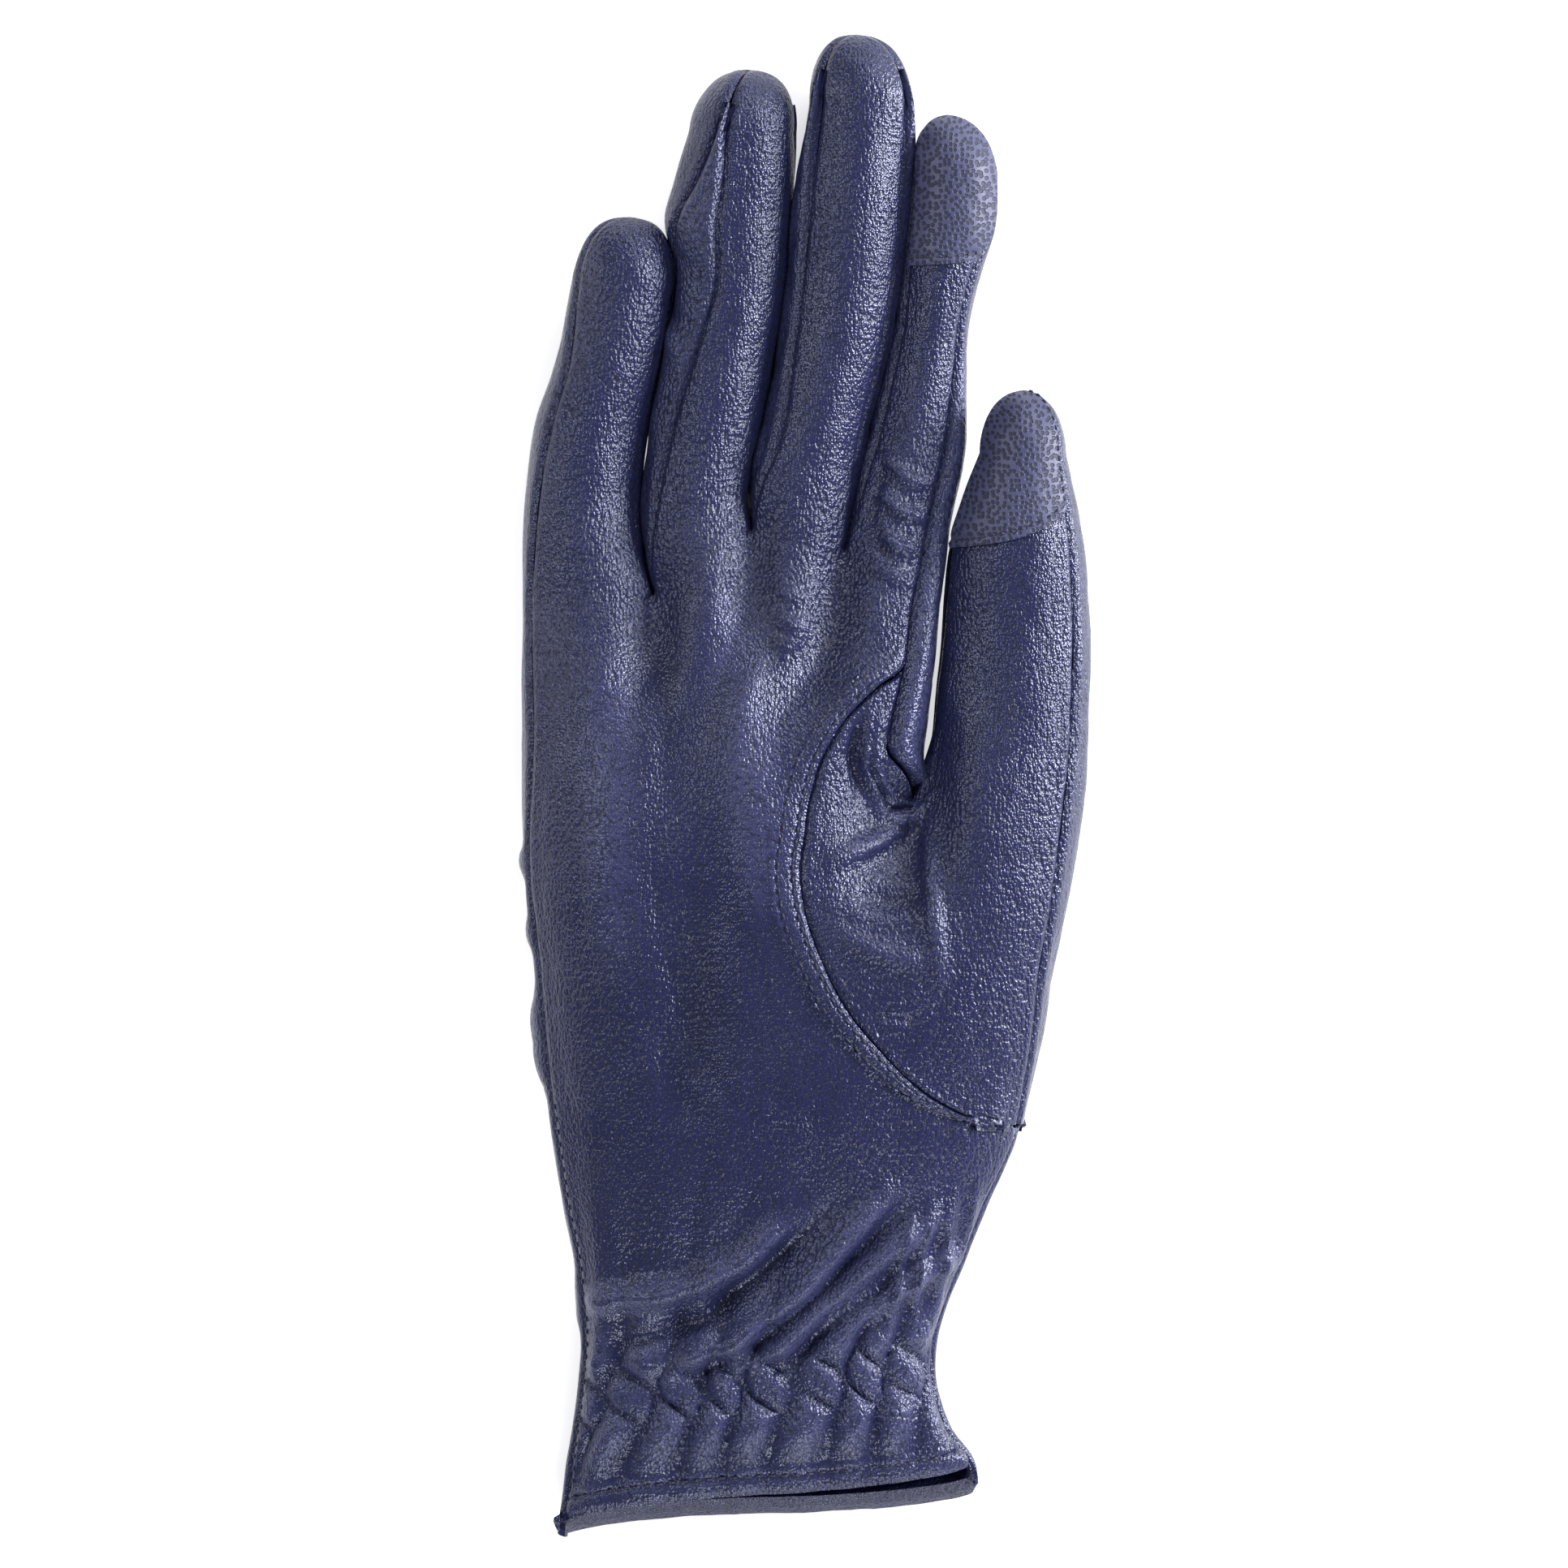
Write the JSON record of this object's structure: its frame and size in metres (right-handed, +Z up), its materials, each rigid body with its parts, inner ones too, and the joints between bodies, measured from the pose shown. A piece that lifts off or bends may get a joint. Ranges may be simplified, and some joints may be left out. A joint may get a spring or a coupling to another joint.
{
  "type": "riding glove",
  "caption": "Soft leather riding glove for the right hand, hollow, with an elastic wrist, side strips between the fingers and textured touch patches.",
  "frame": {"origin": "on the floor, under the middle of the glove's bounding box", "axes": "+Y from the cuff to the fingertips, +X towards the thumb, +Z up out of the palm: the glove lies on its back"},
  "size_m": [0.0934, 0.245, 0.026],
  "materials": {
    "palm_leather": "fine pebbled grain, semi-gloss, indigo",
    "back_leather": "smooth grain, semi-gloss, indigo",
    "side_strip_leather": "soft creased grain, semi-gloss, indigo",
    "touch_patch_leather": "dotted all over with small dimples, satin"
  },
  "bodies": {
    "root": {"palm_panel": "palm_leather", "back_panel": "back_leather", "fourchette_little_ring": "side_strip_leather", "fourchette_ring_middle": "side_strip_leather", "fourchette_middle_index": "side_strip_leather", "thumb_front": "palm_leather", "thumb_back": "back_leather", "index_touch_patch": "touch_patch_leather", "thumb_touch_patch": "touch_patch_leather"}
  },
  "joints": []
}
